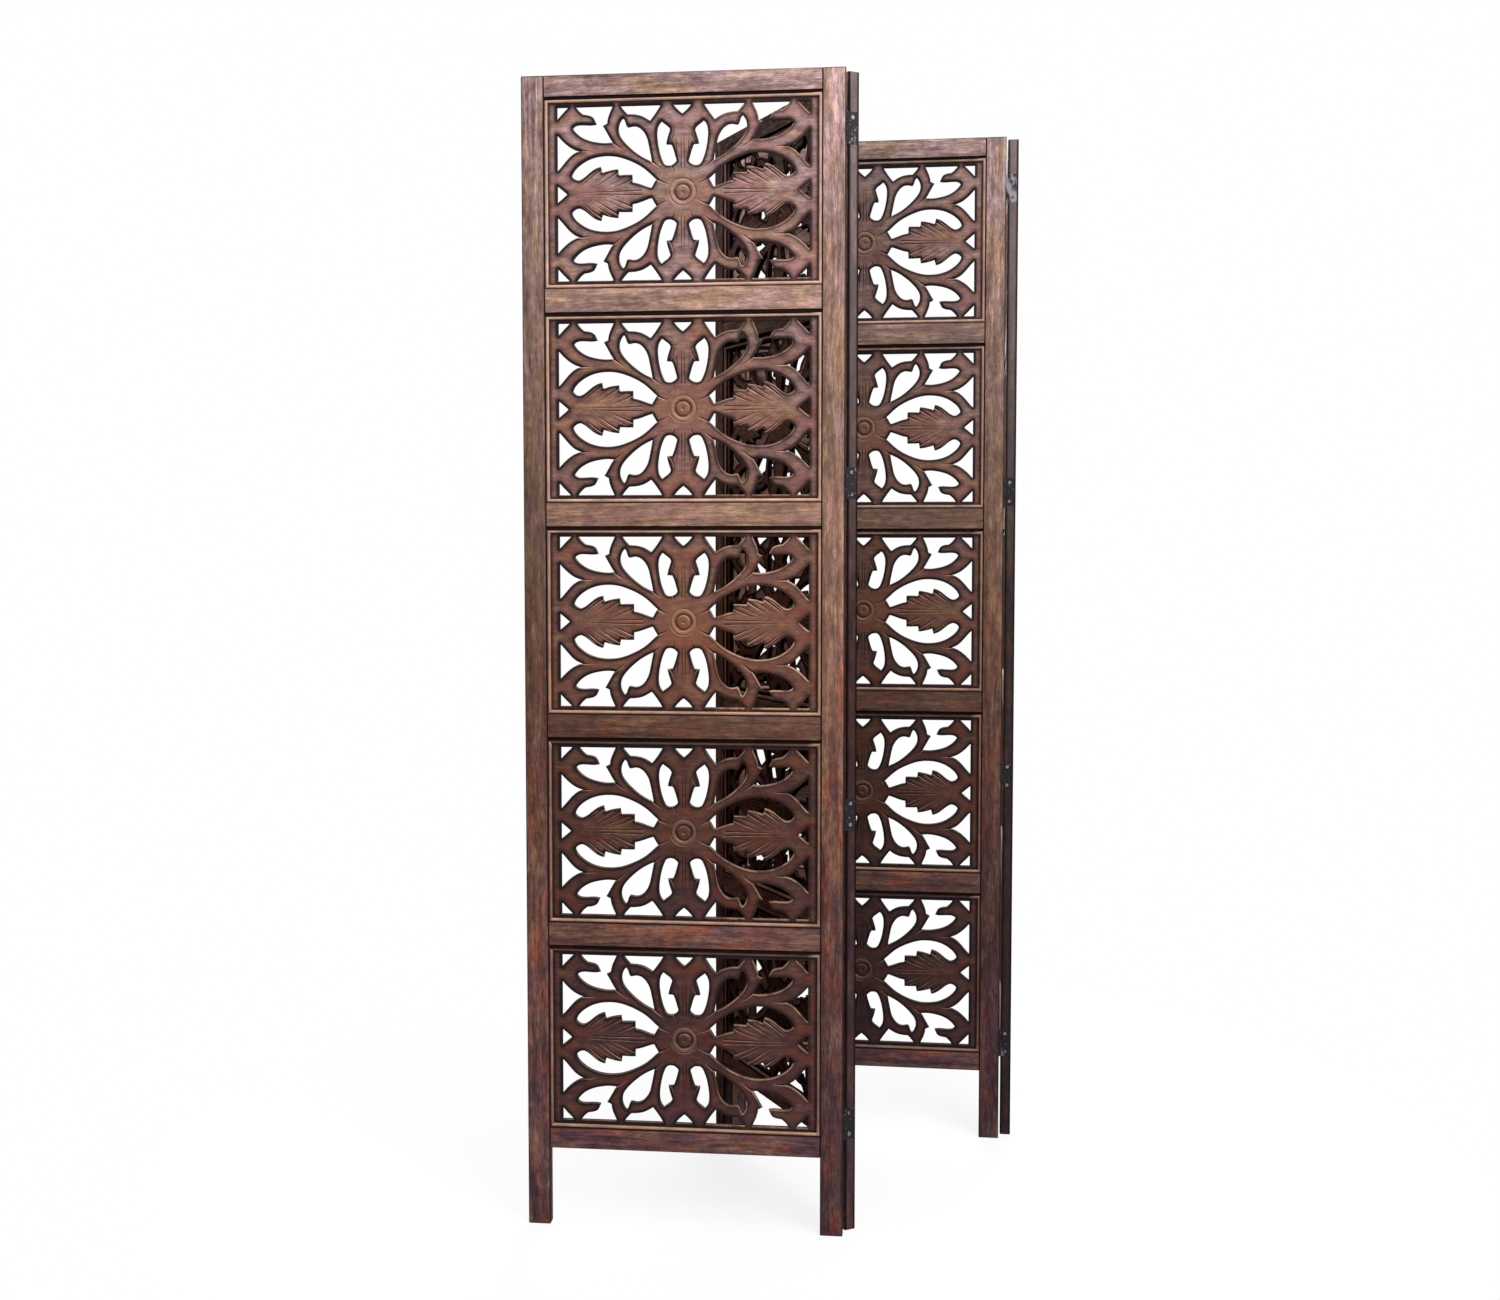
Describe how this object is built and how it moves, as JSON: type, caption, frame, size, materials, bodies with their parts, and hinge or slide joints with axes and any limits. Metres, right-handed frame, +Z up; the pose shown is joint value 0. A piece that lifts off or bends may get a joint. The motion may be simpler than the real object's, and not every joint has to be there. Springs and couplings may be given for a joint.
{
  "type": "folding screen",
  "caption": "Free-standing folding room divider: hinged timber frames, each holding pierced boards carved with leaves and a rosette.",
  "frame": {"origin": "middle of the bounding box of the open zigzag, on the floor under the feet", "axes": "+Z up; -Y is the side from which the first and third panels are seen face on; +X to the right from there"},
  "size_m": [0.9196, 0.9536, 1.829],
  "materials": {
    "stile_wood": "waxed walnut-brown stain over mango wood, worn paler along the edges",
    "rail_wood": "waxed walnut-brown stain over mango wood, grain along the rail",
    "bead_wood": "thin stain rubbed through along the outer edge",
    "carved_wood": "reddish-brown stain, near black in the cuts, rubbed back on the high parts",
    "hinge_iron": "dark lacquered iron, worn bright in places",
    "screw_steel": "zinc-plated steel"
  },
  "bodies": {
    "panel_1": {"panel_1_left_stile": "stile_wood", "panel_1_right_stile": "stile_wood", "panel_1_bottom_rail": "rail_wood", "panel_1_middle_rails": "rail_wood", "panel_1_top_rail": "rail_wood", "panel_1_beading": "bead_wood", "panel_1_jali_1": "carved_wood", "panel_1_jali_2": "carved_wood", "panel_1_jali_3": "carved_wood", "panel_1_jali_4": "carved_wood", "panel_1_jali_5": "carved_wood", "fold_1_hinge_pins": "hinge_iron", "fold_1_left_hinge_leaves": "hinge_iron", "fold_1_left_hinge_screws": "screw_steel"},
    "panel_2": {"panel_2_left_stile": "stile_wood", "panel_2_right_stile": "stile_wood", "panel_2_bottom_rail": "rail_wood", "panel_2_middle_rails": "rail_wood", "panel_2_top_rail": "rail_wood", "panel_2_beading": "bead_wood", "panel_2_jali_1": "carved_wood", "panel_2_jali_2": "carved_wood", "panel_2_jali_3": "carved_wood", "panel_2_jali_4": "carved_wood", "panel_2_jali_5": "carved_wood", "fold_2_hinge_pins": "hinge_iron", "fold_2_left_hinge_leaves": "hinge_iron", "fold_2_left_hinge_screws": "screw_steel", "fold_1_right_hinge_leaves": "hinge_iron", "fold_1_right_hinge_screws": "screw_steel"},
    "panel_3": {"panel_3_left_stile": "stile_wood", "panel_3_right_stile": "stile_wood", "panel_3_bottom_rail": "rail_wood", "panel_3_middle_rails": "rail_wood", "panel_3_top_rail": "rail_wood", "panel_3_beading": "bead_wood", "panel_3_jali_1": "carved_wood", "panel_3_jali_2": "carved_wood", "panel_3_jali_3": "carved_wood", "panel_3_jali_4": "carved_wood", "panel_3_jali_5": "carved_wood", "fold_3_hinge_pins": "hinge_iron", "fold_3_left_hinge_leaves": "hinge_iron", "fold_3_left_hinge_screws": "screw_steel", "fold_2_right_hinge_leaves": "hinge_iron", "fold_2_right_hinge_screws": "screw_steel"},
    "panel_4": {"panel_4_left_stile": "stile_wood", "panel_4_right_stile": "stile_wood", "panel_4_bottom_rail": "rail_wood", "panel_4_middle_rails": "rail_wood", "panel_4_top_rail": "rail_wood", "panel_4_beading": "bead_wood", "panel_4_jali_1": "carved_wood", "panel_4_jali_2": "carved_wood", "panel_4_jali_3": "carved_wood", "panel_4_jali_4": "carved_wood", "panel_4_jali_5": "carved_wood", "fold_3_right_hinge_leaves": "hinge_iron", "fold_3_right_hinge_screws": "screw_steel"}
  },
  "joints": [
    {"name": "fold_1", "type": "hinge", "parent": "panel_1", "child": "panel_2", "pos_m": [0.04814, -0.45524, 0], "axis": [0, 0, 1], "range_deg": [-121, 59]},
    {"name": "fold_2", "type": "hinge", "parent": "panel_2", "child": "panel_3", "pos_m": [-0.14468, 0.01646, 0], "axis": [0, 0, -1], "range_deg": [-122.5, 57.5]},
    {"name": "fold_3", "type": "hinge", "parent": "panel_3", "child": "panel_4", "pos_m": [0.36318, -0.02559, 0], "axis": [0, 0, 1], "range_deg": [-89, 91]}
  ]
}
